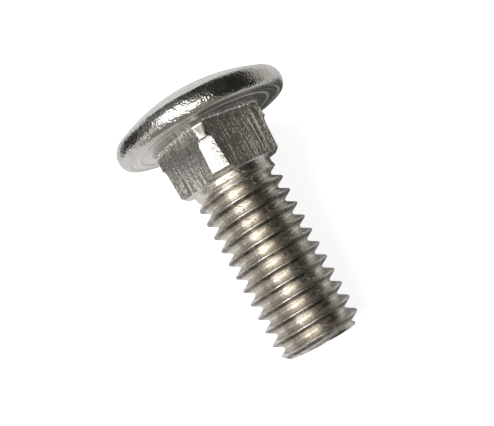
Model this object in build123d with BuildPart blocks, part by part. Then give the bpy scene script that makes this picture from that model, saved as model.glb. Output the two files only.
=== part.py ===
from build123d import *
import os
from math import asin, atan2, ceil, cos, hypot, radians, sin, sqrt, tan

# Bumper bolt, 3/8-16 UNC by 1 inch: a one-piece forging with a shallow domed head, a rounded
# rim, a square neck that stops it turning, and a rolled right-hand thread.
# It is drawn on its own axis first: the seat under the head is at height 0, with the head above
# it and the thread below. The last block lays the bolt on its side, as it comes to rest.
# Millimetres throughout.

# Head
head_diameter = 19.6
rim_round = 1.6
rim_height = 2.3
dome_rise = 2.35

# Rings left by the forging die in the seat
outer_ring_radius = 8.7
inner_ring_radius = 7.55
ring_width = 0.4
ring_depth = 0.13

# Square neck
neck_across_flats = 9.5
neck_depth = 5.7
neck_corner_round = 1.0
neck_flare = 0.5
neck_turn = 5.8

# Lower down, the neck's corners are limited to these distances from the axis
full_corner_depth = 1.75
corner_step_length = 0.6
lower_corner_radius = 5.9
neck_end_radius = 5.8
neck_end_relief = 0.38

# Plain shank
shank_diameter = 9.0
shank_shoulder = 0.2
plain_length = 0.55

# Thread
thread_diameter = 9.525
thread_pitch = 25.4 / 16
bolt_length = 25.4
end_face_diameter = 7.7
last_crest_from_end = 1.64
full_crests_from_seat = 7.45
crest_fade_length = 1.25
groove_fade_length = 1.2

# Unified thread form: 60 degree flanks, crests an eighth of the pitch wide, and the groove cut
# to 17/24 of the height of the sharp V
flank_angle = 30
crest_flat = thread_pitch / 8
thread_depth = 17 / 24 * thread_pitch * cos(radians(flank_angle))
root_flat = thread_pitch - crest_flat - 2 * thread_depth * tan(radians(flank_angle))
groove_overshoot = 0.7 * crest_flat

# Clearances for the cutting tools
corner_clearance = 0.03
tool_margin = 1.0

head_radius = head_diameter / 2
shank_radius = shank_diameter / 2
thread_radius = thread_diameter / 2
end_face_radius = end_face_diameter / 2
neck_corner_radius = (neck_across_flats / 2 - neck_corner_round) * sqrt(2) + neck_corner_round

# The rim is an arc around a centre inside the head, cut off by the seat below and the dome above
rim_centre_radius = head_radius - rim_round
rim_centre_height = rim_height / 2
rim_edge_radius = rim_centre_radius + sqrt(rim_round**2 - rim_centre_height**2)
dome_top = rim_height + dome_rise
dome_radius = (rim_edge_radius**2 + dome_rise**2) / (2 * dome_rise)

# Head and square neck
with BuildPart() as head_and_neck:
    with BuildSketch(Plane.XZ):
        with BuildLine():
            Polyline((0, dome_top), (0, 0), (rim_edge_radius, 0))
            ThreePointArc(
                (rim_edge_radius, 0),
                (head_radius, rim_centre_height),
                (rim_edge_radius, rim_height),
            )
            RadiusArc((rim_edge_radius, rim_height), (0, dome_top), -dome_radius)
        make_face()
        for ring_radius in (outer_ring_radius, inner_ring_radius):
            with BuildLine():
                Polyline(
                    (ring_radius - ring_width / 2, 0),
                    (ring_radius, ring_depth),
                    (ring_radius + ring_width / 2, 0),
                    close=True,
                )
            make_face(mode=Mode.SUBTRACT)
    revolve(axis=Axis.Z)

    with BuildSketch(Plane.XY.offset(-neck_depth)) as neck_section:
        Rectangle(neck_across_flats, neck_across_flats, rotation=-45 - neck_turn)
        fillet(neck_section.vertices(), neck_corner_round)
    extrude(amount=neck_depth + rim_centre_height)
    neck_seam = head_and_neck.edges(Select.LAST).filter_by_position(Axis.Z, 0, 0)
    fillet(neck_seam, neck_flare)

    # Forging leaves the corners full beside the head and rounds them off further down
    with BuildSketch(Plane.XZ):
        with BuildLine():
            step_start = (neck_corner_radius + corner_clearance, -full_corner_depth)
            step_end = (lower_corner_radius, -full_corner_depth - corner_step_length)
            Spline(step_start, step_end, tangents=((-0.2, -1), (-0.05, -1)))
            Polyline(
                step_end,
                (neck_end_radius, neck_end_relief - neck_depth),
                (neck_end_radius - neck_end_relief, -neck_depth),
                (neck_end_radius - neck_end_relief, -neck_depth - tool_margin),
                (neck_corner_radius + tool_margin, -neck_depth - tool_margin),
                (neck_corner_radius + tool_margin, -full_corner_depth),
                step_start,
            )
        make_face()
    revolve(axis=Axis.Z, mode=Mode.SUBTRACT)

# One turn of the thread's groove, which reaches a little past the crests so that it cuts clean
with BuildPart() as groove_turn:
    with BuildLine() as turn_path:
        Helix(pitch=thread_pitch, height=thread_pitch, radius=thread_radius)
    groove_plane = Plane(origin=(thread_radius, 0, 0), x_dir=(1, 0, 0), z_dir=(0, 1, 0))
    with BuildSketch(groove_plane):
        with BuildLine():
            mouth_width = thread_pitch - crest_flat + 2 * groove_overshoot * tan(radians(flank_angle))
            Polyline(
                (-thread_depth, root_flat / 2),
                (groove_overshoot, mouth_width / 2),
                (groove_overshoot, -mouth_width / 2),
                (-thread_depth, -root_flat / 2),
                close=True,
            )
        make_face()
    sweep(path=turn_path.wires()[0], is_frenet=True)

# The whole bolt, upright
with BuildPart() as upright_bolt:
    # Rod as wide as the crests, pointed at its end and narrowing where the crests die out
    rod_top = -neck_depth - shank_shoulder
    crest_fade_slope = (thread_radius - shank_radius) / crest_fade_length
    rod_top_radius = thread_radius - crest_fade_slope * (full_crests_from_seat + rod_top)
    with BuildSketch(Plane.XZ):
        with BuildLine():
            Polyline(
                (0, -bolt_length),
                (end_face_radius, -bolt_length),
                (thread_radius, thread_radius - end_face_radius - bolt_length),
                (thread_radius, -full_crests_from_seat),
                (rod_top_radius, rod_top),
                (0, rod_top),
                close=True,
            )
        make_face()
    revolve(axis=Axis.Z)

    # The groove is cut turn by turn, from two pitches below the end to the top of the rod.
    # It starts three quarters of a pitch below a crest, because the side that the bolt lies on
    # is a quarter turn further round, where the groove has climbed a quarter of a pitch.
    groove_start = last_crest_from_end - bolt_length - 2.75 * thread_pitch
    groove_turns = ceil((rod_top - groove_start) / thread_pitch)
    for turn in range(groove_turns):
        with Locations((0, 0, groove_start + turn * thread_pitch)):
            add(groove_turn.part, mode=Mode.SUBTRACT)

    # Plain shank, whose tapered end fills the last turn of the groove
    shank_end = rod_top - plain_length
    with BuildSketch(Plane.XZ):
        with BuildLine():
            Polyline(
                (0, 0),
                (shank_radius + shank_shoulder, 0),
                (shank_radius + shank_shoulder, -neck_depth),
                (shank_radius, rod_top),
                (shank_radius, shank_end),
                (thread_radius - thread_depth - groove_overshoot, shank_end - groove_fade_length),
                (0, shank_end - groove_fade_length),
                close=True,
            )
        make_face()
    revolve(axis=Axis.Z)

    add(head_and_neck.part)

# The bolt lies on its rim and on the near edge of its last whole crest. The angle between its
# axis and the floor follows from the line that touches both.
crest_contact = last_crest_from_end - crest_flat / 2 - bolt_length
rim_above_contact = rim_centre_height - crest_contact
rim_beyond_crest = rim_centre_radius - thread_radius
contact_distance = hypot(rim_beyond_crest, rim_above_contact)
lean = atan2(rim_beyond_crest, rim_above_contact) + asin(rim_round / contact_distance)

# The thread end points along +X, the floor is at height 0, and the bolt is centred over the origin
seat_height = thread_radius * cos(lean) - crest_contact * sin(lean)
dome_reach = dome_radius + (dome_top - dome_radius) * cos(lean)
thread_reach = bolt_length * cos(lean) + end_face_radius * sin(lean)
resting_plane = Plane(
    origin=((dome_reach - thread_reach) / 2, 0, seat_height),
    x_dir=(0, 1, 0),
    z_dir=(-cos(lean), 0, sin(lean)),
)
with BuildPart(resting_plane) as bumper_bolt:
    add(upright_bolt.part)

bumper_bolt.part.label = "bumper_bolt"
os.makedirs("parts", exist_ok=True)
export_step(bumper_bolt.part, "parts/bumper_bolt.step")
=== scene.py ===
"""Looks of the bumper bolt: one forged, square-necked piece of bright steel with a rolled thread.

The skin of the whole bolt is one mesh, drawn in millimetres on the bolt's own axis: the seat under
the head is at height 0, the dome above it and the thread below. It is then laid on its side in the
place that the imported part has.
"""
from __future__ import annotations

import logging
from abc import ABC, abstractmethod
from dataclasses import dataclass, field
from enum import Enum
from math import asin, atan2, cos, degrees, hypot, pi, radians, sin, sqrt, tan

import bmesh
import bpy
import numpy as np
from mathutils import Matrix, Vector

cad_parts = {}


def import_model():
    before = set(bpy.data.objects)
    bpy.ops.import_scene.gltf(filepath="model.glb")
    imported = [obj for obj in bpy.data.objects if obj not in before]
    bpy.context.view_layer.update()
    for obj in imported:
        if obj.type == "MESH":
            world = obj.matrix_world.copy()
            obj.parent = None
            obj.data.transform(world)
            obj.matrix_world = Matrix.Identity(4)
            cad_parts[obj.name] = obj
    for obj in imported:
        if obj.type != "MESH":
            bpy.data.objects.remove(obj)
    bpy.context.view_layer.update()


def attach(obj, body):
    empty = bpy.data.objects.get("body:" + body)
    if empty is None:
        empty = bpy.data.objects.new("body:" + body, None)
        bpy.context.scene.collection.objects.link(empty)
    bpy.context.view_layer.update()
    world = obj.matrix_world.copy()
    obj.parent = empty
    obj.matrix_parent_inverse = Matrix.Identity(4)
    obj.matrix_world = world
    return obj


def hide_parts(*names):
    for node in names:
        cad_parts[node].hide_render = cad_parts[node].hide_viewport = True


Socket = bpy.types.NodeSocket
Outputs = bpy.types.NodeOutputs
Pair = tuple[float, float]
Triple = tuple[float, float, float]
Colour = tuple[float, float, float, float]
Value = Socket | float | tuple
Numbers = np.ndarray | float
Outline = tuple[np.ndarray, Numbers]

LOG = logging.getLogger("bumper_bolt")
MM = 0.001
INCH = 25.4
UNIT = (0.0, 1.0)

# Radius that stands for no limit, in millimetres
NO_LIMIT = 99.0

# Attribute of the mesh that keeps each point's place on the bolt's own axes, in metres
OWN_PLACE = "own_place"

# Sockets of Blender's Mix node that hold colours
MIX_COLOURS = (6, 7)
MIX_RESULT = 2

# Every ring of the skin has as many points, a quarter of them from corner to corner of the neck
COLUMNS = 200
QUARTER = COLUMNS // 4


class Zone(Enum):
    """Parts of the skin that have a finish of their own."""

    DOME = 0
    RIM = 1
    SEAT = 2
    FLAT = 3
    CORNER = 4
    THREAD = 5
    END = 6


def add_object(name: str, data: bpy.types.ID) -> bpy.types.Object:
    """Adds an object to the scene.

    Args:
        name: Name of the object.
        data: Its mesh, light or camera.

    Returns:
        The object.
    """
    made = bpy.data.objects.new(name, data)
    bpy.context.scene.collection.objects.link(made)
    return made


def add_sheet(name: str, size: Pair, steps: int, finish: bpy.types.Material) -> bpy.types.Object:
    """Adds a flat sheet that faces up, with its middle at the origin.

    Args:
        name: Name of the sheet.
        size: Width and depth, in metres.
        steps: Number of faces along each side.
        finish: Material of the sheet.

    Returns:
        The sheet.
    """
    shares = [step / steps - 0.5 for step in range(steps + 1)]
    points = [(size[0] * across, size[1] * deep, 0.0) for across in shares for deep in shares]
    firsts = [row * (steps + 1) + column for row in range(steps) for column in range(steps)]
    faces = [(first, first + steps + 1, first + steps + 2, first + 1) for first in firsts]
    mesh = bpy.data.meshes.new(name)
    mesh.from_pydata(points, [], faces)
    mesh.materials.append(finish)
    return add_object(name, mesh)


def soft_minimum(first: np.ndarray, second: Numbers, blend: float) -> np.ndarray:
    """Smaller of two radii, with the edge where they meet rounded off over a width."""
    share = np.clip(0.5 + 0.5 * (second - first) / blend, 0.0, 1.0)
    return second + (first - second) * share - blend * share * (1.0 - share)


def soft_corner(before: Pair, corner: Pair, after: Pair, steps: int) -> list[Pair]:
    """Points of a curve that rounds a corner of a profile.

    Args:
        before: Point where the rounding starts.
        corner: The sharp corner.
        after: Point where the rounding ends.
        steps: Number of spans.

    Returns:
        The points from before to after.
    """
    points = []
    for step in range(steps + 1):
        t = step / steps
        weights = ((1 - t) ** 2, 2 * t * (1 - t), t**2)
        points.append(
            (
                weights[0] * before[0] + weights[1] * corner[0] + weights[2] * after[0],
                weights[0] * before[1] + weights[1] * corner[1] + weights[2] * after[1],
            )
        )
    return points


@dataclass
class Skin:
    """Rings of points and the faces between them, from the middle of the dome to the end.

    Its turns are the angles of evenly spread columns, in radians, and last is the number of the
    last ring's first point.
    """

    turns: np.ndarray
    points: list[np.ndarray] = field(default_factory=list)
    faces: list[tuple[int, ...]] = field(default_factory=list)
    zones: list[int] = field(default_factory=list)
    count: int = 0
    last: int = 0

    def add_points(self, places: np.ndarray) -> int:
        """Adds points.

        Args:
            places: X, Y and Z of each point, in rows.

        Returns:
            The number of the first.
        """
        self.points.append(places)
        self.count += len(places)
        return self.count - len(places)

    def add_middle(self, height: float) -> int:
        """Adds one point on the axis and returns its number."""
        return self.add_points(np.array([[0.0, 0.0, height]]))

    def add_ring(self, turns: np.ndarray, radii: Numbers, heights: Numbers) -> int:
        """Adds one ring of points.

        Args:
            turns: Angle of each column, in radians.
            radii: Distance from the axis, of each point or of all.
            heights: Height of each point or of all.

        Returns:
            The number of the first point.
        """
        across, deep = radii * np.cos(turns), radii * np.sin(turns)
        self.last = self.add_points(np.stack([across, deep, heights + 0 * turns], axis=1))
        return self.last

    def add_face(self, corners: tuple[int, ...], zone: int) -> None:
        """Adds one face in a zone."""
        self.faces.append(corners)
        self.zones.append(zone)

    def extend(
        self, turns: np.ndarray, radii: Numbers, heights: Numbers, zones: Zone | np.ndarray
    ) -> None:
        """Adds one ring below the last one and joins the two, with one face for each column.

        Args:
            turns: Angle of each column, in radians.
            radii: Distance from the axis, of each point or of all.
            heights: Height of each point or of all.
            zones: Zone of all the new faces, or the zone number of each column.
        """
        above, below = self.last, self.add_ring(turns, radii, heights)
        numbers = [zones.value] * COLUMNS if isinstance(zones, Zone) else zones.tolist()
        for column, number in enumerate(numbers):
            after = (column + 1) % COLUMNS
            self.add_face((above + column, below + column, below + after, above + after), number)

    def blend(self, start: Outline, end: Outline, shares: list[float], height: float) -> None:
        """Adds flat rings of the seat's finish that lead from one outline to another.

        Args:
            start: Angles and radii of the outline that the rings lead from.
            end: Angles and radii of the outline that the rings lead to.
            shares: How far each ring has come, between 0 and 1.
            height: Height of the rings.
        """
        for share in shares:
            turns, radii = (old + share * (new - old) for old, new in zip(start, end))
            self.extend(turns, radii, height, Zone.SEAT)

    def close(self, middle: int, zone: Zone, upwards: bool) -> None:
        """Closes the last ring with a fan of triangles around a point on the axis.

        Args:
            middle: Number of the point on the axis.
            zone: Zone of the fan.
            upwards: Whether the fan faces up.
        """
        for column in range(COLUMNS):
            pair = (self.last + column, self.last + (column + 1) % COLUMNS)
            self.add_face((middle, *(pair if upwards else pair[::-1])), zone.value)

    def to_mesh(
        self, name: str, finishes: list[bpy.types.Material], matrix: Matrix
    ) -> bpy.types.Mesh:
        """Makes a Blender mesh in metres, with face-weighted normals.

        Args:
            name: Name of the mesh.
            finishes: Materials in the order of the zones.
            matrix: Where the bolt's own axes lie in the row frame.

        Returns:
            The mesh, in the row frame, which keeps each point's own place for its finishes.
        """
        mesh = bpy.data.meshes.new(name)
        mesh.from_pydata((np.concatenate(self.points) * MM).tolist(), [], self.faces)
        for finish in finishes:
            mesh.materials.append(finish)
        mesh.polygons.foreach_set("material_index", self.zones)
        work = bmesh.new()
        work.from_mesh(mesh)
        same_place = 1e-4 * MM
        bmesh.ops.remove_doubles(work, verts=work.verts, dist=same_place)
        bmesh.ops.dissolve_degenerate(work, edges=work.edges, dist=same_place)
        work.to_mesh(mesh)
        work.free()
        own_places = np.empty(3 * len(mesh.vertices))
        mesh.vertices.foreach_get("co", own_places)
        kept = mesh.attributes.new(OWN_PLACE, "FLOAT_VECTOR", "POINT")
        kept.data.foreach_set("vector", own_places)
        mesh.transform(matrix)
        mesh.polygons.foreach_set("use_smooth", [True] * len(mesh.polygons))
        self.weight_normals(mesh)
        return mesh

    @staticmethod
    def weight_normals(mesh: bpy.types.Mesh) -> None:
        """Sets each point's normal from its faces by their area, so that flats shade flat.

        Args:
            mesh: Mesh that is changed.
        """
        corner_point = np.empty(len(mesh.loops), dtype=np.int64)
        mesh.loops.foreach_get("vertex_index", corner_point)
        corners = np.empty(len(mesh.polygons), dtype=np.int64)
        mesh.polygons.foreach_get("loop_total", corners)
        facing = np.empty(3 * len(mesh.polygons))
        mesh.polygons.foreach_get("normal", facing)
        areas = np.empty(len(mesh.polygons))
        mesh.polygons.foreach_get("area", areas)
        weighted = facing.reshape(-1, 3) * areas[:, None]
        normals = np.zeros((len(mesh.vertices), 3))
        np.add.at(normals, corner_point, np.repeat(weighted, corners, axis=0))
        normals /= np.maximum(np.linalg.norm(normals, axis=1, keepdims=True), 1e-30)
        mesh.normals_split_custom_set_from_vertices(normals.tolist())


@dataclass(frozen=True)
class DomedHead:
    """Shallow dome, rounded rim and ringed seat."""

    diameter: float = 19.6
    rim_round: float = 1.6
    rim_height: float = 2.3
    dome_rise: float = 2.35
    ring_radii: Pair = (8.7, 7.55)
    ring_width: float = 0.4
    ring_depth: float = 0.13
    crease_softness: float = 0.1
    edge_softness: float = 0.22
    first_row: float = 0.02
    row_spread: float = 0.8
    arc_rows: int = 26
    crease_steps: int = 4
    edge_steps: int = 6

    @property
    def rim_centre(self) -> Pair:
        """Radius and height of the centre of the rim's arc."""
        return self.diameter / 2 - self.rim_round, self.rim_height / 2

    @property
    def edge_radius(self) -> float:
        """Radius of both edges of the rim."""
        radius, height = self.rim_centre
        return radius + sqrt(self.rim_round**2 - height**2)

    @property
    def dome_radius(self) -> float:
        """Radius of the sphere that the dome is a part of."""
        return (self.edge_radius**2 + self.dome_rise**2) / (2 * self.dome_rise)

    @property
    def top(self) -> float:
        """Height of the middle of the dome."""
        return self.rim_height + self.dome_rise

    @property
    def seat_inner_radius(self) -> float:
        """Radius inside the rings of the seat."""
        return self.ring_radii[1] - self.ring_width / 2

    def dome_point(self, angle: float) -> Pair:
        """Point of the dome at an angle from the axis, in radians."""
        return self.dome_radius * sin(angle), self.top - self.dome_radius * (1 - cos(angle))

    def rim_point(self, angle: float) -> Pair:
        """Point of the rim at an angle above its widest line, in radians."""
        radius, height = self.rim_centre
        return radius + self.rim_round * cos(angle), height + self.rim_round * sin(angle)

    def profile(self) -> list[tuple[float, float, Zone]]:
        """Profile from beside the middle of the dome to the inner ring of the seat.

        Returns:
            Radius, height and zone of each point.
        """
        dome_end = asin(self.edge_radius / self.dome_radius)
        rim_end = asin(self.rim_centre[1] / self.rim_round)
        dome_soft = self.crease_softness / self.dome_radius
        rim_soft = self.crease_softness / self.rim_round
        edge_soft = self.edge_softness / self.rim_round
        rows: list[tuple[float, float, Zone]] = []
        for share in np.linspace(self.first_row, 1.0, self.arc_rows) ** self.row_spread:
            rows.append((*self.dome_point(share * (dome_end - dome_soft)), Zone.DOME))
        crease = soft_corner(
            self.dome_point(dome_end - dome_soft),
            (self.edge_radius, self.rim_height),
            self.rim_point(rim_end - rim_soft),
            self.crease_steps,
        )
        halfway = self.crease_steps // 2 + 1
        rows += [(*point, Zone.DOME) for point in crease[1:halfway]]
        rows += [(*point, Zone.RIM) for point in crease[halfway:]]
        for angle in np.linspace(rim_end - rim_soft, edge_soft - rim_end, self.arc_rows)[1:]:
            rows.append((*self.rim_point(angle), Zone.RIM))
        edge = soft_corner(
            self.rim_point(edge_soft - rim_end),
            (self.edge_radius, 0.0),
            (self.edge_radius - self.edge_softness, 0.0),
            self.edge_steps,
        )
        halfway = self.edge_steps // 2 + 1
        rows += [(*point, Zone.RIM) for point in edge[1:halfway]]
        rows += [(*point, Zone.SEAT) for point in edge[halfway:]]
        for ring_radius in self.ring_radii:
            for share in (1.0, 0.5, 0.0, -0.5, -1.0):
                radius = ring_radius + share * self.ring_width / 2
                rows.append((radius, self.ring_depth * (1 - abs(share)), Zone.SEAT))
        return rows

    def add_to(self, skin: Skin) -> None:
        """Adds the dome, rim and seat.

        Args:
            skin: Skin that is added to.
        """
        middle = skin.add_middle(self.top)
        (radius, height, _), *others = self.profile()
        skin.add_ring(skin.turns, radius, height)
        skin.close(middle, Zone.DOME, upwards=True)
        for radius, height, zone in others:
            skin.extend(skin.turns, radius, height, zone)


@dataclass(frozen=True)
class SquareNeck:
    """Square neck that flares into the seat, with its corners rounded off lower down."""

    across_flats: float = 9.5
    depth: float = 5.7
    corner_round: float = 1.0
    flare: float = 0.5
    turn: float = 5.8
    full_corner_depth: float = 1.75
    ledge_height: float = 0.06
    ledge_limit: float = 6.08
    step_length: float = 1.0
    full_corner_limit: float = 6.25
    full_corner_bevel: float = 0.13
    lower_corner_radius: float = 5.9
    end_radius: float = 5.8
    end_relief: float = 0.38
    bottom_softness: float = 0.12
    edge_blend: float = 0.045
    edge_width: float = 0.7
    corner_columns: int = 8
    edge_columns: int = 2
    flare_rows: int = 12
    side_rows: tuple[int, ...] = (5, 4, 12, 9, 6)
    bottom_rows: int = 6
    seat_steps: int = 5
    underside_steps: int = 3

    @property
    def first_corner(self) -> float:
        """Angle of the first corner, in radians."""
        return radians(-self.turn)

    @property
    def ledge_end(self) -> float:
        """Depth at which the ledge below the full corners ends."""
        return self.full_corner_depth + self.ledge_height

    @property
    def step_end(self) -> float:
        """Depth at which the corners reach their lower radius."""
        return self.full_corner_depth + self.step_length

    @property
    def relief_start(self) -> float:
        """Depth at which the corners are cut back towards the underside."""
        return self.depth - self.end_relief

    def limit(self, depth: float) -> float:
        """Distance from the axis that the corners are limited to.

        Args:
            depth: Depth below the seat.

        Returns:
            The limit in millimetres.
        """
        full, ledge, lower = self.full_corner_limit, self.ledge_limit, self.lower_corner_radius
        if depth <= self.full_corner_depth:
            share = (self.full_corner_depth - depth) / (self.full_corner_depth - self.flare)
            return full - min(share, 1.0) * self.full_corner_bevel
        if depth <= self.ledge_end:
            share = (depth - self.full_corner_depth) / self.ledge_height
            return full + share * (ledge - full)
        if depth <= self.step_end:
            left = (self.step_end - depth) / (self.step_end - self.ledge_end)
            return lower + left**2 * (ledge - lower)
        if depth <= self.relief_start:
            share = (depth - self.step_end) / (self.relief_start - self.step_end)
            return lower + share * (self.end_radius - lower)
        return self.end_radius - (depth - self.relief_start)

    def section(self, offset: float, limit: float) -> tuple[np.ndarray, np.ndarray]:
        """One ring of the neck, with columns that follow the edges of its corners.

        Args:
            offset: How far the flats stand out past their plain place.
            limit: Distance from the axis that the corners are limited to.

        Returns:
            Angles and radii of the ring's points.
        """
        half = self.across_flats / 2 + offset
        rounding = self.corner_round + offset
        centre = (half - rounding) * sqrt(2)
        arc_end = atan2(rounding * sin(pi / 4), centre + rounding * cos(pi / 4))
        edge = arc_end
        if half / cos(pi / 4 - arc_end) > limit > half:
            edge = pi / 4 - np.arccos(half / limit)
        width = radians(self.edge_width)
        places = (0, edge - width, edge, edge + width)
        places += tuple(pi / 2 - place for place in reversed(places))
        middle, reach = self.corner_columns, self.edge_columns
        knots = (0, middle - reach, middle, middle + reach)
        knots += tuple(QUARTER - knot for knot in reversed(knots))
        quarter = np.interp(np.arange(QUARTER), knots, places)
        from_corner = np.where(quarter > pi / 4, quarter - pi / 2, quarter)
        on_arc = centre * np.cos(from_corner) + np.sqrt(
            np.maximum(rounding**2 - (centre * np.sin(from_corner)) ** 2, 0)
        )
        on_flat = half / np.cos(pi / 4 - np.abs(from_corner))
        plain = np.where(np.abs(from_corner) < arc_end, on_arc, on_flat)
        radii = soft_minimum(plain, limit, self.edge_blend)
        turns = np.concatenate([quarter + self.first_corner + side * pi / 2 for side in range(4)])
        return turns, np.tile(radii, 4)

    def column_zones(self) -> np.ndarray:
        """Tells the rubbed corners from the drawn flats.

        Returns:
            Zone number of each column.
        """
        column = np.arange(COLUMNS) % QUARTER
        from_corner = np.minimum(column, QUARTER - 1 - column)
        return np.where(from_corner < self.corner_columns, Zone.CORNER.value, Zone.FLAT.value)

    def rows(self) -> list[Triple]:
        """Rings of the neck from the seat down.

        Returns:
            Depth, offset of the flats and corner limit of each ring.
        """
        places = []
        for angle in np.linspace(0, pi / 2, self.flare_rows):
            places.append((self.flare * (1 - cos(angle)), self.flare * (1 - sin(angle))))
        bottom = self.depth - self.bottom_softness
        ends = (self.full_corner_depth, self.ledge_end, self.step_end, self.relief_start, bottom)
        for start, end, count in zip((self.flare, *ends), ends, self.side_rows):
            places += [(float(depth), 0.0) for depth in np.linspace(start, end, count)[1:]]
        for angle in np.linspace(0, pi / 2, self.bottom_rows)[1:]:
            left, inwards = 1 - sin(angle), 1 - cos(angle)
            places.append(
                (self.depth - self.bottom_softness * left, -self.bottom_softness * inwards)
            )
        return [(depth, offset, self.limit(depth) + offset) for depth, offset in places]

    def add_to(self, skin: Skin, seat_radius: float) -> None:
        """Adds the inner part of the seat and the neck.

        Args:
            skin: Skin that is added to.
            seat_radius: Radius of the head's last ring.
        """
        rows = self.rows()
        shares = [step / self.seat_steps for step in range(1, self.seat_steps)]
        skin.blend((skin.turns, seat_radius), self.section(*rows[0][1:]), shares, 0.0)
        zones: Zone | np.ndarray = Zone.SEAT
        for depth, offset, limit in rows:
            skin.extend(*self.section(offset, limit), -depth, zones)
            zones = self.column_zones()

    def add_underside(self, skin: Skin, inner_radius: float) -> None:
        """Adds the underside of the neck.

        Args:
            skin: Skin that is added to.
            inner_radius: Radius at which the shank starts.
        """
        outline = self.section(*self.rows()[-1][1:])
        shares = [step / self.underside_steps for step in range(1, self.underside_steps + 1)]
        skin.blend(outline, (skin.turns, inner_radius), shares, -self.depth)


@dataclass(frozen=True)
class RolledThread:
    """Plain shank and right-hand thread, with rounded roots and narrow crests.

    The rows of the thread lie at the given distances from each crest to the root.
    """

    diameter: float = 9.525
    pitch: float = INCH / 16
    length: float = INCH
    shank_diameter: float = 9.0
    shoulder: float = 0.2
    shoulder_softness: float = 0.05
    plain_length: float = 0.55
    neck_depth: float = 5.7
    end_face_diameter: float = 7.7
    last_crest: float = 1.64
    full_crests: float = 7.45
    crest_fade: float = 1.25
    groove_fade: float = 1.2
    core_below_root: float = 0.14
    crest_blend: float = 0.16
    fade_blend: float = 0.03
    core_blend: float = 0.04
    crest_to_root: tuple[float, ...] = (0.0, 0.06, 0.11, 0.16, 0.23, 0.35, 0.48, 0.59, 0.65, 0.72)
    spare_pitches: int = 3
    shoulder_steps: int = 6
    end_rings: int = 8

    @property
    def depth(self) -> float:
        """Depth of the thread below its crests."""
        return 17 / 24 * self.pitch * cos(pi / 6)

    @property
    def top(self) -> float:
        """Height at which the turned surface starts."""
        return -self.neck_depth - self.shoulder

    @property
    def top_radius(self) -> float:
        """Radius of the shank where it leaves the neck."""
        return self.shank_diameter / 2 + self.shoulder

    @property
    def crest_start(self) -> float:
        """Height of one crest at angle 0."""
        return self.last_crest - self.length - self.pitch / 4

    def climb(self, turns: np.ndarray) -> np.ndarray:
        """How far the thread has climbed at each angle."""
        return self.pitch * turns / (2 * pi)

    def thread_radius(self, from_crest: np.ndarray) -> np.ndarray:
        """Radius of the endless thread.

        Args:
            from_crest: Distance along the axis from the nearest crest.

        Returns:
            The radii in millimetres.
        """
        outer = self.diameter / 2
        root_round = self.pitch * cos(pi / 6) / 6
        flank = outer - (np.abs(from_crest) - self.pitch / 16) / tan(pi / 6)
        from_root = self.pitch / 2 - np.abs(from_crest)
        arc = outer - self.depth + root_round - np.sqrt(np.maximum(root_round**2 - from_root**2, 0))
        groove = np.where(from_root < root_round * cos(pi / 6), arc, flank)
        return soft_minimum(groove, outer, self.crest_blend)

    def radius(self, turns: np.ndarray, heights: np.ndarray) -> np.ndarray:
        """Radius of the shank and thread.

        Args:
            turns: Angle of each point, in radians.
            heights: Height of each point.

        Returns:
            The radii in millimetres.
        """
        outer = self.diameter / 2
        shank = self.shank_diameter / 2
        beyond = heights - (self.crest_start + self.climb(turns))
        from_crest = beyond - self.pitch * np.round(beyond / self.pitch)
        fade_slope = (outer - shank) / self.crest_fade
        fading = outer - fade_slope * (heights + self.full_crests)
        faded = np.where(heights > -self.full_crests, fading, NO_LIMIT)
        point = self.end_face_diameter / 2 + (heights + self.length)
        crests = soft_minimum(self.thread_radius(from_crest), faded, self.fade_blend)
        crests = soft_minimum(crests, point, self.fade_blend)
        below = self.top - self.plain_length - heights
        bottom = outer - self.depth - self.core_below_root
        core = shank - np.clip(below / self.groove_fade, 0, 1) * (shank - bottom)
        return -soft_minimum(-crests, -core, self.core_blend)

    def rows_in_pitch(self) -> list[float]:
        """Places of the rows around a crest, from top to bottom, close at crests and roots."""
        lower = (-place for place in self.crest_to_root[1:])
        return sorted([*self.crest_to_root, self.pitch / 2, *lower], reverse=True)

    def add_shoulder(self, skin: Skin) -> None:
        """Adds the rounded cone from the underside of the neck to the shank.

        Args:
            skin: Skin that is added to.
        """
        soft = self.shoulder_softness
        rounding = soft_corner(
            (self.top_radius, -self.neck_depth),
            (self.shank_diameter / 2 + soft, -self.neck_depth - soft),
            (self.shank_diameter / 2, self.top),
            self.shoulder_steps,
        )
        for radius, height in rounding[1:]:
            skin.extend(skin.turns, radius, height, Zone.THREAD)

    def add_to(self, skin: Skin) -> None:
        """Adds the shank and thread as rows that climb with the helix.

        Args:
            skin: Skin that is added to.
        """
        in_pitch = self.rows_in_pitch()
        spare = self.spare_pitches
        pitches = range(int((self.length + self.top) / self.pitch) + spare, -spare, -1)
        starts = []
        for pitch in pitches:
            for place in in_pitch:
                climbed = self.crest_start + pitch * self.pitch + place + self.climb(skin.turns)
                placed = np.clip(climbed, -self.length, self.top)
                radii = self.radius(skin.turns, placed)
                starts.append(skin.add_ring(skin.turns, radii, placed))
        end, zone = COLUMNS - 1, Zone.THREAD.value
        for row, (upper, lower) in enumerate(zip(starts, starts[1:])):
            for column in range(end):
                left, right = upper + column, lower + column
                skin.add_face((left, right, right + 1, left + 1), zone)
            # After a whole turn each row meets the one that starts a pitch higher
            above = row - len(in_pitch)
            if above >= 0:
                skin.add_face((upper + end, lower + end, starts[above + 1], starts[above]), zone)

    def add_end(self, skin: Skin) -> None:
        """Adds the flat end.

        Args:
            skin: Skin that is added to.
        """
        bottom = np.full(COLUMNS, -self.length)
        outline = self.radius(skin.turns, bottom)
        skin.add_ring(skin.turns, outline, bottom)
        for step in range(1, self.end_rings):
            skin.extend(skin.turns, outline * (1 - step / self.end_rings), bottom, Zone.END)
        skin.close(skin.add_middle(-self.length), Zone.END, upwards=False)


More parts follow.
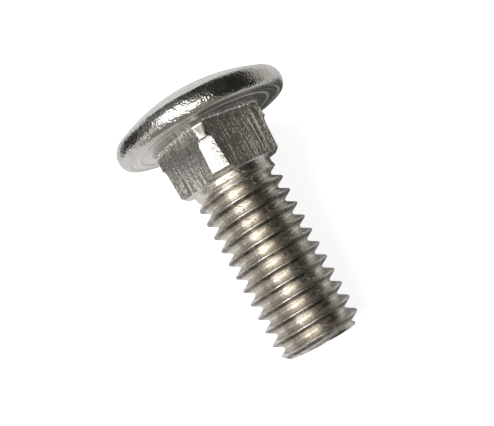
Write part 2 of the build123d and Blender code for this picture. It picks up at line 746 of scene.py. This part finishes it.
@dataclass(frozen=True)
class LyingPlace:
    """How the bolt lies: on its rim and on the near edge of its last whole crest.

    The studio and the camera are set around the middle, a height on the bolt's own axis.
    """

    head: DomedHead
    thread: RolledThread
    middle: float = -8.0

    @property
    def contact(self) -> float:
        """Height of the crest edge that touches the floor."""
        return self.thread.last_crest - self.thread.pitch / 16 - self.thread.length

    @property
    def lean(self) -> float:
        """Angle between the axis and the floor, in radians.

        Returns:
            The angle of the line that touches the rim and the crest.
        """
        radius, height = self.head.rim_centre
        along = height - self.contact
        across = radius - self.thread.diameter / 2
        return atan2(across, along) + asin(self.head.rim_round / hypot(across, along))

    @property
    def axes(self) -> Matrix:
        """Rotation from the bolt's own axes to the row's."""
        rise, run = sin(self.lean), cos(self.lean)
        return Matrix(((0.0, -rise, -run), (1.0, 0.0, 0.0), (0.0, -run, rise)))

    @property
    def matrix(self) -> Matrix:
        """Transform from the bolt's own frame to the row frame, both in metres.

        Returns:
            The transform.
        """
        lean, head, thread = self.lean, self.head, self.thread
        seat = thread.diameter / 2 * cos(lean) - self.contact * sin(lean)
        dome_reach = head.dome_radius + (head.top - head.dome_radius) * cos(lean)
        end_reach = thread.length * cos(lean) + thread.end_face_diameter / 2 * sin(lean)
        origin = Vector(((dome_reach - end_reach) / 2, 0.0, seat)) * MM
        return Matrix.Translation(origin) @ self.axes.to_4x4()


class NodeBench:
    """Lays out and links the nodes of one material or world."""

    def __init__(self, owner: bpy.types.Material | bpy.types.World) -> None:
        """Empties the nodes of a new owner.

        Args:
            owner: The material or world.
        """
        self.owner = owner
        owner.use_nodes = True
        self.tree = owner.node_tree
        self.tree.nodes.clear()

    def add(self, kind: str, inputs: dict[str | int, Value], **settings: object) -> Outputs:
        """Adds a node.

        Args:
            kind: Blender's name of the node type.
            inputs: What each input is linked or set to, by its name or number.
            settings: Attributes of the node.

        Returns:
            The outputs of the node.
        """
        node = self.tree.nodes.new(kind)
        for setting, value in settings.items():
            setattr(node, setting, value)
        for place, value in inputs.items():
            if isinstance(value, Socket):
                self.tree.links.new(value, node.inputs[place])
            else:
                node.inputs[place].default_value = value
        return node.outputs

    def rays(self) -> tuple[Socket, Socket]:
        """Tells where the light path comes from.

        Returns:
            Whether it comes from the camera, and whether metal or glass has sent it on.
        """
        path = self.add("ShaderNodeLightPath", {})
        sent_on = self.math("MAXIMUM", path["Is Glossy Ray"], path["Is Transmission Ray"])
        return path["Is Camera Ray"], sent_on

    def noise(self, place: Socket, detail: float, roughness: float) -> Socket:
        """Noise between 0 and 1 at a position in units of about a wave."""
        inputs = {"Vector": place, "Scale": 1.0, "Detail": detail, "Roughness": roughness}
        return self.add("ShaderNodeTexNoise", inputs)["Fac"]

    def math(self, operation: str, first: Socket, second: Socket | float = 0.0) -> Socket:
        """Result of a sum of one or two numbers, by Blender's name of the sum."""
        return self.add("ShaderNodeMath", {0: first, 1: second}, operation=operation)["Value"]

    def spread(self, value: Socket, source: Pair, target: Pair) -> Socket:
        """Value mapped smoothly from one range to another, and kept inside it."""
        inputs = dict(enumerate((value, *source, *target)))
        return self.add("ShaderNodeMapRange", inputs, interpolation_type="SMOOTHSTEP")["Result"]

    def mix(self, share: Socket, first: Value, second: Value) -> Socket:
        """Colour between two colours."""
        inputs = {"Factor": share, MIX_COLOURS[0]: first, MIX_COLOURS[1]: second}
        return self.add("ShaderNodeMix", inputs, data_type="RGBA")[MIX_RESULT]

    def bump(self, height: Socket, depth: float, below: Socket | None) -> Socket:
        """Gives a surface relief.

        Args:
            height: Relief between 0 and 1.
            depth: What a relief of 1 stands for, in millimetres.
            below: Normal that this relief is laid over.

        Returns:
            The normal.
        """
        inputs = {"Strength": 1.0, "Distance": depth * MM, "Height": height}
        if below is not None:
            inputs["Normal"] = below
        return self.add("ShaderNodeBump", inputs)["Normal"]


class SteelBench(NodeBench):
    """Bench of a material of the bolt, which knows the place on the bolt's own axes."""

    def place(self, scale: float | Triple) -> Socket:
        """Finds the place on the bolt.

        Args:
            scale: Units for each millimetre, the same on all axes or one number for each.

        Returns:
            The position in those units.
        """
        scales = scale if isinstance(scale, tuple) else (scale, scale, scale)
        own = self.add("ShaderNodeAttribute", {}, attribute_name=OWN_PLACE)["Vector"]
        inputs = {0: own, 1: tuple(part / MM for part in scales)}
        return self.add("ShaderNodeVectorMath", inputs, operation="MULTIPLY")["Vector"]

    def unrolled(self) -> tuple[Socket, Socket]:
        """Angle around the axis in radians, and height in millimetres."""
        parts = self.add("ShaderNodeSeparateXYZ", {0: self.place(1.0)})
        return self.math("ARCTAN2", parts["Y"], parts["X"]), parts["Z"]

    def from_axis(self) -> Socket:
        """Distance from the axis in millimetres."""
        flat = self.place((1.0, 1.0, 0.0))
        return self.add("ShaderNodeVectorMath", {0: flat}, operation="LENGTH")["Value"]

    def grain(self, scale: float | Triple, detail: float, roughness: float) -> Socket:
        """Noise between 0 and 1, with a scale in waves per millimetre."""
        return self.noise(self.place(scale), detail, roughness)

    def rings(self, width: float) -> Socket:
        """Noise between 0 and 1 in rings around the axis, with their width in millimetres."""
        inputs = {"W": self.math("DIVIDE", self.from_axis(), width), "Scale": 1.0, "Detail": 2.0}
        return self.add("ShaderNodeTexNoise", inputs, noise_dimensions="1D")["Fac"]


@dataclass(frozen=True)
class Layer(ABC):
    """Layer of relief, with its depth in millimetres, which is negative where it is cut in."""

    depth: float

    @abstractmethod
    def height(self, bench: SteelBench) -> Socket:
        """Height of the layer, between 0 and 1."""


@dataclass(frozen=True)
class Grain(Layer):
    """Noise with a scale in waves per millimetre."""

    scale: float | Triple
    detail: float = 3.0
    roughness: float = 0.6

    def height(self, bench: SteelBench) -> Socket:
        """Height of the grain, between 0 and 1."""
        return bench.grain(self.scale, self.detail, self.roughness)


@dataclass(frozen=True)
class Pebbles(Layer):
    """Rounded cells, with a scale in cells per millimetre."""

    scale: Triple

    def height(self, bench: SteelBench) -> Socket:
        """Distance from the middle of a pebble, with soft edges between pebbles."""
        inputs = {"Vector": bench.place(self.scale), "Scale": 1.0, "Smoothness": 0.4}
        return bench.add("ShaderNodeTexVoronoi", inputs, feature="SMOOTH_F1")["Distance"]


@dataclass(frozen=True)
class Rings(Layer):
    """Uneven rings round the bolt's axis, with their width in millimetres."""

    width: float

    def height(self, bench: SteelBench) -> Socket:
        """Height of the rings, between 0 and 1."""
        return bench.rings(self.width)


@dataclass(frozen=True)
class Scratches(Layer):
    """Sparse straight scratches that slant across the unrolled thread.

    The scales are waves per millimetre along the scratches and across them.
    """

    depth: float = -0.03
    angle: float = 35.0
    scales: Pair = (0.3, 3.2)
    threshold: Pair = (0.66, 0.71)
    unrolled_radius: float = 4.76

    def height(self, bench: SteelBench) -> Socket:
        """Finds the scratches.

        Args:
            bench: Bench of the material.

        Returns:
            1 in a scratch and 0 beside it.
        """
        turn, height = bench.unrolled()
        around = bench.math("MULTIPLY", turn, self.unrolled_radius)
        slant = radians(self.angle)
        inputs = {}
        for axis, angle, scale in zip("XY", (slant, slant - pi / 2), self.scales):
            level = bench.math("MULTIPLY", around, cos(angle))
            upright = bench.math("MULTIPLY", height, sin(angle))
            inputs[axis] = bench.math("MULTIPLY", bench.math("SUBTRACT", level, upright), scale)
        place = bench.add("ShaderNodeCombineXYZ", inputs)["Vector"]
        return bench.spread(bench.noise(place, 1.0, 0.5), self.threshold, UNIT)


@dataclass(frozen=True)
class SteelFinish:
    """Bright steel, which wears from its colour and first polish to its tint and second polish.

    The layers of relief lie one over the other, the lowest first.
    """

    name: str
    colour: Colour = (0.66, 0.645, 0.615, 1.0)
    tint: Colour = (0.58, 0.56, 0.52, 1.0)
    polish: Pair = (0.16, 0.3)
    patch: float = 0.9
    tinting_wear: Pair = (0.4, 0.75)
    dulling_wear: Pair = (0.3, 0.7)
    layers: tuple[Layer, ...] = ()

    def wear(self, bench: SteelBench) -> Socket:
        """How worn the finish is, between 0 and 1."""
        return bench.grain(1 / self.patch, 4.0, 0.6)

    def hue(self, bench: SteelBench, wear: Socket) -> Socket:
        """Colour of the finish with the given wear."""
        return bench.mix(bench.spread(wear, self.tinting_wear, UNIT), self.colour, self.tint)

    def build(self) -> bpy.types.Material:
        """Makes the material.

        Returns:
            The material.
        """
        bench = SteelBench(bpy.data.materials.new(self.name))
        wear = self.wear(bench)
        normal = None
        for layer in self.layers:
            normal = bench.bump(layer.height(bench), layer.depth, normal)
        steel = {
            "Metallic": 1.0,
            "Base Color": self.hue(bench, wear),
            "Roughness": bench.spread(wear, self.dulling_wear, self.polish),
            "Normal": normal,
        }
        surface = bench.add("ShaderNodeBsdfPrincipled", steel)["BSDF"]
        bench.add("ShaderNodeOutputMaterial", {"Surface": surface})
        return bench.owner


@dataclass(frozen=True)
class RingedSeat(SteelFinish):
    """Seat that is rough at the radii where the die pressed, with fine dull lines between."""

    rough_radii: Pair = (7.55, 8.85)
    rough_reach: Pair = (0.08, 0.24)
    line_width: float = 0.24

    def wear(self, bench: SteelBench) -> Socket:
        """Makes the pressed rings rough, with fine dull lines between them.

        Args:
            bench: Bench of the material.

        Returns:
            How worn the finish is, between 0 and 1.
        """
        rough = bench.spread(bench.rings(self.line_width), (0.45, 0.65), (0.2, 0.5))
        distance = bench.from_axis()
        for radius in self.rough_radii:
            aside = bench.math("ABSOLUTE", bench.math("SUBTRACT", distance, radius))
            ring = bench.spread(aside, self.rough_reach, (1.0, 0.0))
            rough = bench.math("MAXIMUM", rough, ring)
        return rough


@dataclass(frozen=True)
class DrawnFlat(SteelFinish):
    """Flat of the neck with dull streaks along it, broken up by a grain."""

    streak_scale: Triple = (0.8 / 0.18, 0.8 / 0.18, 0.3)
    grain_scale: float = 4.0

    def wear(self, bench: SteelBench) -> Socket:
        """Makes the streaks and the grain.

        Args:
            bench: Bench of the material.

        Returns:
            How worn the finish is, between 0 and 1.
        """
        streaks = bench.grain(self.streak_scale, 4.0, 0.6)
        both = bench.math("ADD", streaks, bench.grain(self.grain_scale, 3.0, 0.7))
        return bench.spread(both, (0.84, 1.16), (0.2, 0.95))


@dataclass(frozen=True)
class RolledFlank(SteelFinish):
    """Thread with painted shade in an uneven dark line under its crests, and with darkened
    scratches.

    The painted shade's place below the crests and its width are shares of the pitch.
    """

    thread: RolledThread = RolledThread()
    scratches: Scratches = Scratches()
    scratch_darkness: float = 0.55
    # Dark colour of the painted shade under the crests, and of the scratches
    crest_shade_and_scratch_colour: Colour = (0.07, 0.06, 0.052, 1.0)
    crest_shade_start: Pair = (-7.7, -7.1)
    crest_shade_place: float = 0.13
    crest_shade_width: Pair = (0.04, 0.18)

    def from_crest(self, bench: SteelBench) -> Socket:
        """Measures the height above the nearest crest.

        Args:
            bench: Bench of the material.

        Returns:
            The height as a share of the pitch, from -0.5 to 0.5.
        """
        turn, height = bench.unrolled()
        climbed = bench.math("DIVIDE", turn, 2 * pi)
        risen = bench.math("SUBTRACT", height, self.thread.crest_start)
        phase = bench.math("SUBTRACT", bench.math("DIVIDE", risen, self.thread.pitch), climbed)
        return bench.math("SUBTRACT", bench.math("FRACT", bench.math("ADD", phase, 0.5)), 0.5)

    def hue(self, bench: SteelBench, wear: Socket) -> Socket:
        """Paints shade in an uneven dark line under each crest, and darkens the steel in the
        scratches.

        Args:
            bench: Bench of the material.
            wear: How worn the finish is, between 0 and 1.

        Returns:
            The colour.
        """
        steel = super().hue(bench, wear)
        # Painted shade: a dark band just under each crest, on the flank that lies in shade below it
        distance = bench.math("ADD", self.from_crest(bench), self.crest_shade_place)
        line = bench.spread(bench.math("ABSOLUTE", distance), self.crest_shade_width, (1.0, 0.0))
        uneven = bench.spread(bench.grain((1.1, 1.1, 0.8), 4.0, 0.6), (0.3, 0.6), (0.55, 0.95))
        line = bench.math("MULTIPLY", line, uneven)
        threaded = bench.spread(bench.unrolled()[1], self.crest_shade_start, (1.0, 0.0))
        line = bench.math("MULTIPLY", line, threaded)
        scratched = bench.math("MULTIPLY", self.scratches.height(bench), self.scratch_darkness)
        # The painted shade and the scratches take the same dark colour
        return bench.mix(bench.math("MAXIMUM", line, scratched), steel, self.crest_shade_and_scratch_colour)


@dataclass(frozen=True)
class BoltFinishes:
    """Finish of each zone of the bolt."""

    dome: SteelFinish = SteelFinish(
        "tumbled_dome",
        tint=(0.62, 0.605, 0.575, 1.0),
        polish=(0.22, 0.3),
        layers=(Grain(0.03, 0.8, 2.0, 0.55), Grain(0.004, 7.0, 3.0, 0.55)),
    )
    rim: SteelFinish = SteelFinish(
        "pebbled_rim",
        polish=(0.18, 0.28),
        layers=(
            Grain(0.0496, (0.4 / 0.23, 0.4 / 0.23, 0.5 / 0.23), 1.0, 0.5),
            Pebbles(-0.031, (1 / 0.23, 1 / 0.23, 1.2 / 0.23)),
        ),
    )
    seat: SteelFinish = RingedSeat(
        "ringed_seat",
        colour=(0.65, 0.635, 0.605, 1.0),
        tint=(0.83, 0.81, 0.77, 1.0),
        polish=(0.14, 0.6),
        layers=(Rings(0.1, 0.3), Grain(0.006, 5.0, 3.0, 0.55)),
    )
    flat: SteelFinish = DrawnFlat(
        "drawn_flat",
        colour=(0.81, 0.77, 0.72, 1.0),
        tint=(0.3, 0.28, 0.25, 1.0),
        polish=(0.16, 0.5),
        layers=(
            Grain(0.0364, 3.5, 2.0),
            Grain(0.042, (0.3 / 0.18, 0.3 / 0.18, 0.12), 2.0, 0.5),
            Grain(0.028, (1 / 0.18, 1 / 0.18, 0.25)),
        ),
    )
    corner: SteelFinish = SteelFinish(
        "rubbed_corner", polish=(0.18, 0.3), layers=(Grain(0.05, (4.5, 4.5, 3.0)),)
    )
    thread: SteelFinish = RolledFlank(
        "rolled_flank",
        colour=(0.77, 0.73, 0.675, 1.0),
        tint=(0.645, 0.59, 0.51, 1.0),
        polish=(0.2, 0.34),
        layers=(Grain(0.035, (2.4, 2.4, 4.5), 4.0, 0.65), Scratches(), Rings(0.008, 0.035)),
    )
    end: SteelFinish = SteelFinish(
        "sheared_end",
        polish=(0.25, 0.4),
        layers=(Grain(0.06, 2.2, 4.0), Grain(0.025, (0.5, 6.0, 0.5))),
    )

    def build(self) -> list[bpy.types.Material]:
        """Materials in the order of the zones."""
        finishes = (self.dome, self.rim, self.seat, self.flat, self.corner, self.thread, self.end)
        return [finish.build() for finish in finishes]


@dataclass(frozen=True)
class BumperBolt:
    """The whole bolt as one skin."""

    head: DomedHead = DomedHead()
    neck: SquareNeck = SquareNeck()
    thread: RolledThread = RolledThread()
    finishes: BoltFinishes = BoltFinishes()

    @property
    def place(self) -> LyingPlace:
        """Where the bolt lies."""
        return LyingPlace(self.head, self.thread)

    def build(self) -> bpy.types.Object:
        """Builds, dresses and places the bolt.

        Returns:
            The object.
        """
        # The first column is at a corner of the neck
        skin = Skin(self.neck.first_corner + np.arange(COLUMNS) * 2 * pi / COLUMNS)
        self.head.add_to(skin)
        self.neck.add_to(skin, self.head.seat_inner_radius)
        self.neck.add_underside(skin, self.thread.top_radius)
        self.thread.add_shoulder(skin)
        self.thread.add_to(skin)
        self.thread.add_end(skin)
        mesh = skin.to_mesh("bolt_skin", self.finishes.build(), self.place.matrix)
        return add_object("bolt_skin", mesh)


@dataclass(frozen=True)
class SoftLamp:
    """Rectangular lamp that faces the bolt from a direction given on the bolt's own axes.

    The azimuth counts degrees to the right of the camera's side, round the bolt's axis, and the
    elevation degrees towards the head. The other sizes are in metres, and a brightness of 1 is
    white.
    """

    name: str
    azimuth: float
    elevation: float
    width: float
    height: float
    brightness: float
    distance: float = 0.3

    @property
    def away(self) -> Vector:
        """Direction from the bolt to the lamp, on the bolt's own axes."""
        turn, rise = radians(self.azimuth), radians(self.elevation)
        return Vector((sin(turn) * cos(rise), -cos(turn) * cos(rise), sin(rise)))


@dataclass(frozen=True)
class ToneCard:
    """Card that only reflections see, as a photographer stands beside shiny things.

    Its place and the way from the bolt to it are given on the bolt's own axes, in metres.
    """

    name: str
    place: Triple
    away: Triple
    width: float
    height: float
    tone: float

    @property
    def colour(self) -> Colour:
        """Colour of the card, a little warmer than grey."""
        return self.tone, self.tone * 0.97, self.tone * 0.9, 1.0


@dataclass(frozen=True)
class Studio:
    """Pale floor, soft lamps and tone cards."""

    place: LyingPlace
    floor_size: float = 3.0
    floor_steps: int = 12
    floor_colour: Colour = (0.8, 0.8, 0.8, 1.0)
    floor_glow: float = 0.8
    mirrored_glow: float = 0.1
    ambient: float = 0.28
    lamps: tuple[SoftLamp, ...] = (SoftLamp("key_lamp", -36.0, 24.0, 0.2, 0.5, 3.3),)
    cards: tuple[ToneCard, ...] = (
        ToneCard("right_card", (0.028, -0.052, -0.02), (0.958, -0.284, 0.0), 0.118, 0.13, 0.02),
        ToneCard("right_head_card", (0.036, 0.0035, 0.006), (1.0, 0.0, 0.0), 0.023, 0.026, 0.5),
        ToneCard("left_head_card", (-0.026, -0.004, 0.011), (-1.0, 0.0, 0.0), 0.03, 0.021, 0.02),
        ToneCard("left_card", (-0.08, -0.03, -0.02), (-1.0, -0.6, 0.0), 0.09, 0.12, 0.14),
        ToneCard("head_card", (0.001, -0.075, 0.0305), (0.0, -1.0, 0.0), 0.024, 0.063, 0.2),
        ToneCard("top_card", (0.0, -0.03, 0.06), (0.0, -0.3, 1.0), 0.2, 0.09, 0.03),
        ToneCard("bottom_card", (0.0, -0.0575, -0.075), (0.0, -0.685, -0.728), 0.16, 0.117, 0.03),
        ToneCard("low_card", (0.0, -0.0305, -0.042), (0.0, -0.1, -1.0), 0.12, 0.062, 0.25),
        ToneCard("front_card", (-0.0055, -0.07, -0.018), (0.0, -1.0, 0.0), 0.041, 0.034, 3.2),
        ToneCard("fill_card", (-0.054, -0.025, -0.0125), (-0.9, -0.42, 0.0), 0.032, 0.02, 0.9),
        # Painted shadow: a dark card that stands in for the bolt's shadow on the floor, seen only
        # in the seat's reflection
        ToneCard("seat_shadow_card", (0.0135, 0.008, -0.0045), (0.0, 0.98, -0.199), 0.017, 0.009, 0.08),
    )

    def turned(self, own: Vector) -> Matrix:
        """Rotation of a lamp or card that faces back along a direction.

        Args:
            own: Direction away from the bolt, on the bolt's own axes.

        Returns:
            The rotation, with -Z towards the bolt and Y along its axis.
        """
        away = (self.place.axes @ own).normalized()
        side = (self.place.axes @ Vector((0.0, 0.0, 1.0))).cross(away)
        if side.length < 1e-6:
            side = self.place.axes @ Vector((1.0, 0.0, 0.0))
        side.normalize()
        return Matrix((side, away.cross(side), away)).transposed().to_4x4()

    def build(self) -> None:
        """Builds the floor, lamps, cards and world."""
        self.build_floor()
        for lamp in self.lamps:
            self.build_lamp(lamp)
        for card in self.cards:
            self.build_card(card)
        self.build_world()

    def build_floor(self) -> bpy.types.Object:
        """Flat floor with a pale finish that keeps the shadow.

        Returns:
            The floor.
        """
        bench = NodeBench(bpy.data.materials.new("pale_floor"))
        seen, sent_on = bench.rays()
        seen = bench.math("MULTIPLY", seen, self.floor_glow)
        mirrored = bench.math("MULTIPLY", sent_on, self.mirrored_glow)
        strength = bench.math("ADD", seen, mirrored)
        diffuse = bench.add("ShaderNodeBsdfDiffuse", {"Color": self.floor_colour})["BSDF"]
        glow = bench.add("ShaderNodeEmission", {"Strength": strength})["Emission"]
        both = bench.add("ShaderNodeAddShader", {0: diffuse, 1: glow})["Shader"]
        bench.add("ShaderNodeOutputMaterial", {"Surface": both})
        size = (self.floor_size, self.floor_size)
        return add_sheet("floor", size, self.floor_steps, bench.owner)

    def build_lamp(self, lamp: SoftLamp) -> bpy.types.Object:
        """Makes a lamp whose face has the given brightness.

        Args:
            lamp: What the lamp is like.

        Returns:
            The lamp.
        """
        data = bpy.data.lights.new(lamp.name, "AREA")
        data.shape = "RECTANGLE"
        data.size = lamp.width
        data.size_y = lamp.height
        data.energy = lamp.brightness * pi * lamp.width * lamp.height
        made = add_object(lamp.name, data)
        middle = self.place.matrix @ Vector((0.0, 0.0, self.place.middle * MM))
        place = middle + self.place.axes @ lamp.away * lamp.distance
        made.matrix_world = Matrix.Translation(place) @ self.turned(lamp.away)
        return made

    def build_card(self, card: ToneCard) -> bpy.types.Object:
        """Makes a card that only reflections see.

        Args:
            card: What the card is like.

        Returns:
            The card.
        """
        bench = NodeBench(bpy.data.materials.new(card.name))
        glow = bench.add("ShaderNodeEmission", {"Color": card.colour})["Emission"]
        bench.add("ShaderNodeOutputMaterial", {"Surface": glow})
        made = add_sheet(card.name, (card.width, card.height), 1, bench.owner)
        place = Matrix.Translation(self.place.matrix @ Vector(card.place))
        made.matrix_world = place @ self.turned(Vector(card.away))
        made.visible_camera = False
        made.visible_diffuse = False
        made.visible_shadow = False
        made.visible_transmission = False
        return made

    def build_world(self) -> None:
        """Makes the world white to the camera and in reflections, and plain as light."""
        world = bpy.data.worlds.new("pale_room")
        bpy.context.scene.world = world
        bench = NodeBench(world)
        seen = bench.math("MAXIMUM", *bench.rays())
        strength = bench.spread(seen, UNIT, (self.ambient, 1.0))
        background = bench.add("ShaderNodeBackground", {"Strength": strength})["Background"]
        bench.add("ShaderNodeOutputWorld", {"Surface": background})


@dataclass(frozen=True)
class ProductCamera:
    """Camera that sees the bolt from above, nearly square to its axis.

    Distance and shifts are in millimetres, and tilt, slant and turn in degrees.
    """

    place: LyingPlace
    distance: float = 95.226
    tilt: float = 5.145
    slant: float = 1.715
    shift_right: float = 0.477
    shift_up: float = 1.884
    picture_turn: float = 30.5
    focal_pixels: float = 903.819
    picture_width: float = 494.0
    sensor_width: float = 36.0
    clip_start: float = 0.005
    clip_end: float = 20.0

    def build(self) -> bpy.types.Object:
        """Makes the camera and hands it to the scene.

        Returns:
            The camera.
        """
        tilt, slant, turn = radians(self.tilt), radians(self.slant), radians(self.picture_turn)
        forward = Vector((0.0, cos(tilt), sin(tilt)))
        level_right = Vector((cos(slant), -sin(tilt) * sin(slant), cos(tilt) * sin(slant)))
        level_up = Vector((-sin(slant), -sin(tilt) * cos(slant), cos(tilt) * cos(slant)))
        eye = (
            Vector((0.0, 0.0, self.place.middle))
            - self.distance * forward
            - self.shift_right * level_right
            - self.shift_up * level_up
        )
        right = cos(turn) * level_right - sin(turn) * level_up
        up = sin(turn) * level_right + cos(turn) * level_up
        axes = self.place.axes
        rotation = Matrix((axes @ right, axes @ up, axes @ -forward)).transposed().to_4x4()
        data = bpy.data.cameras.new("product_camera")
        data.sensor_fit = "HORIZONTAL"
        data.sensor_width = self.sensor_width
        data.lens = self.sensor_width * self.focal_pixels / self.picture_width
        data.clip_start = self.clip_start
        data.clip_end = self.clip_end
        camera = add_object("product_camera", data)
        camera.matrix_world = Matrix.Translation(self.place.matrix @ (eye * MM)) @ rotation
        bpy.context.scene.camera = camera
        return camera


def main() -> None:
    """Builds the bolt, the studio and the camera in order."""
    logging.basicConfig(level=logging.INFO, format="%(name)s: %(message)s")
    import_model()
    bpy.context.scene.view_settings.view_transform = "Standard"
    bolt = BumperBolt()
    skin = bolt.build()
    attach(skin, "root")
    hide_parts("bumper_bolt")
    LOG.info("bolt skin: %d faces, %d finishes", len(skin.data.polygons), len(skin.data.materials))
    Studio(bolt.place).build()
    LOG.info("studio built; the axis leans %.2f degrees", degrees(bolt.place.lean))
    camera = ProductCamera(bolt.place).build()
    LOG.info("camera lens %.2f mm", camera.data.lens)


if __name__ == "__main__":
    main()
